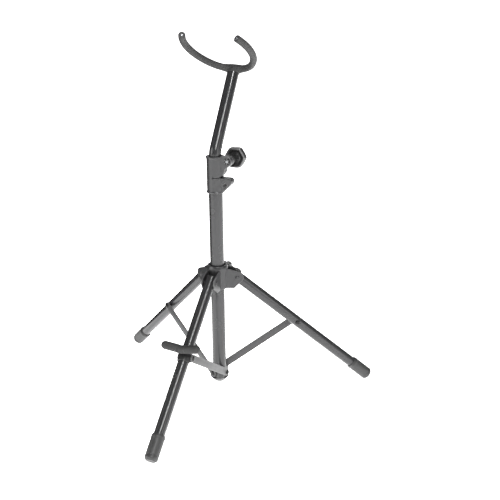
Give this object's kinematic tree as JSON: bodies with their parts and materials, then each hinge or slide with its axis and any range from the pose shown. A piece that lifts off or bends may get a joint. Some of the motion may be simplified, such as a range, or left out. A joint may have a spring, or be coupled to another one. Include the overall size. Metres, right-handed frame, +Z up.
{
  "type": "saxophone stand",
  "caption": "Folding tripod saxophone stand with a telescoping bent rod, a padded yoke at the top and a padded lower rest on the front leg.",
  "frame": {"origin": "the column's axis at floor level", "axes": "+Z up along the column; -Y towards the front leg, which carries the lower rest; +X to the right when the front leg points at the viewer"},
  "size_m": [0.5308, 0.463, 0.6833],
  "materials": {
    "column_paint": "semi-gloss black powder coat",
    "leg_paint": "semi-gloss black powder coat",
    "rod_paint": "gloss black powder coat",
    "brace_paint": "satin grey-black coat",
    "hub_paint": "satin black coat",
    "black_steel": "black oxide",
    "moulded_nylon": "moulded, fine texture",
    "knob_plastic": "moulded, fine texture",
    "liner_nylon": "moulded",
    "sleeve_rubber": "matte, finely ribbed",
    "foot_rubber": "matte moulded",
    "zinc_steel": "bright zinc"
  },
  "bodies": {
    "column": {"main_tube": "column_paint", "bottom_fitting": "moulded_nylon", "fitting_pin": "black_steel", "brace_pivot_pins": "black_steel", "height_collar": "moulded_nylon", "rod_liner": "liner_nylon", "collar_bolt": "zinc_steel", "collar_nut": "zinc_steel", "clamp_nut": "zinc_steel"},
    "clamp_knob": {"height_knob": "knob_plastic", "height_knob_stud": "zinc_steel"},
    "rod_foot": {"rod_guide": "liner_nylon"},
    "rod": {"upper_rod": "rod_paint", "yoke_bar": "zinc_steel", "yoke_sleeve": "sleeve_rubber"},
    "hub": {"hub_spider": "hub_paint", "hub_liner": "liner_nylon", "leg_pivot_pins": "black_steel"},
    "hub_knob": {"hub_thumb_knob": "knob_plastic", "hub_thumb_stud": "zinc_steel"},
    "front_leg": {"leg_front": "leg_paint", "leg_plug_front": "liner_nylon", "foot_front": "foot_rubber", "leg_bolt_front": "black_steel", "rest_saddle": "black_steel", "rest_bar": "zinc_steel", "rest_sleeve": "sleeve_rubber"},
    "right_leg": {"leg_right": "leg_paint", "leg_plug_right": "liner_nylon", "foot_right": "foot_rubber", "leg_bolt_right": "black_steel"},
    "left_leg": {"leg_left": "leg_paint", "leg_plug_left": "liner_nylon", "foot_left": "foot_rubber", "leg_bolt_left": "black_steel"},
    "front_brace": {"brace_front": "brace_paint", "brace_stud_front": "black_steel"},
    "right_brace": {"brace_right": "brace_paint", "brace_stud_right": "black_steel"},
    "left_brace": {"brace_left": "brace_paint", "brace_stud_left": "black_steel"}
  },
  "joints": [
    {"name": "rod_height", "type": "slide", "parent": "column", "child": "rod_foot", "axis": [0, 0, 1], "range_m": [0, 0.22]},
    {"name": "rod_swivel", "type": "hinge", "parent": "rod_foot", "child": "rod", "pos_m": [0, 0, 0.17], "axis": [0, 0, 1], "continuous": true},
    {"name": "clamp_knob_turn", "type": "hinge", "parent": "column", "child": "clamp_knob", "pos_m": [0.0265, 0, 0.456], "axis": [0, 1, 0], "range_deg": [0, 720]},
    {"name": "hub_slide", "type": "slide", "parent": "column", "child": "hub", "axis": [0, 0, 1], "range_m": [0, 0.1324]},
    {"name": "hub_knob_turn", "type": "hinge", "parent": "hub", "child": "hub_knob", "pos_m": [0, 0.03, 0.2355], "axis": [0, 1, 0], "range_deg": [0, 720]},
    {"name": "front_leg_fold", "type": "hinge", "parent": "hub", "child": "front_leg", "pos_m": [0, -0.036, 0.2325], "axis": [1, 0, 0], "range_deg": [0, 47.22]},
    {"name": "right_leg_fold", "type": "hinge", "parent": "hub", "child": "right_leg", "pos_m": [0.03118, 0.018, 0.2325], "axis": [-0.5, 0.866, 0], "range_deg": [0, 47.22]},
    {"name": "left_leg_fold", "type": "hinge", "parent": "hub", "child": "left_leg", "pos_m": [-0.03118, 0.018, 0.2325], "axis": [-0.5, -0.866, 0], "range_deg": [0, 47.22]},
    {"name": "front_brace_fold", "type": "hinge", "parent": "column", "child": "front_brace", "pos_m": [0, 0, 0.038], "axis": [-1, 0, 0], "range_deg": [0, 44.75]},
    {"name": "right_brace_fold", "type": "hinge", "parent": "column", "child": "right_brace", "pos_m": [0, 0, 0.038], "axis": [0.5, -0.866, 0], "range_deg": [0, 44.75]},
    {"name": "left_brace_fold", "type": "hinge", "parent": "column", "child": "left_brace", "pos_m": [0, 0, 0.038], "axis": [0.5, 0.866, 0], "range_deg": [0, 44.75]}
  ],
  "couplings": [
    {"joint": "front_leg_fold", "follows": "hub_slide", "rad_per_m": 6.222},
    {"joint": "right_leg_fold", "follows": "hub_slide", "rad_per_m": 6.222},
    {"joint": "left_leg_fold", "follows": "hub_slide", "rad_per_m": 6.222},
    {"joint": "front_brace_fold", "follows": "hub_slide", "rad_per_m": 5.8961},
    {"joint": "right_brace_fold", "follows": "hub_slide", "rad_per_m": 5.8961},
    {"joint": "left_brace_fold", "follows": "hub_slide", "rad_per_m": 5.8961}
  ]
}
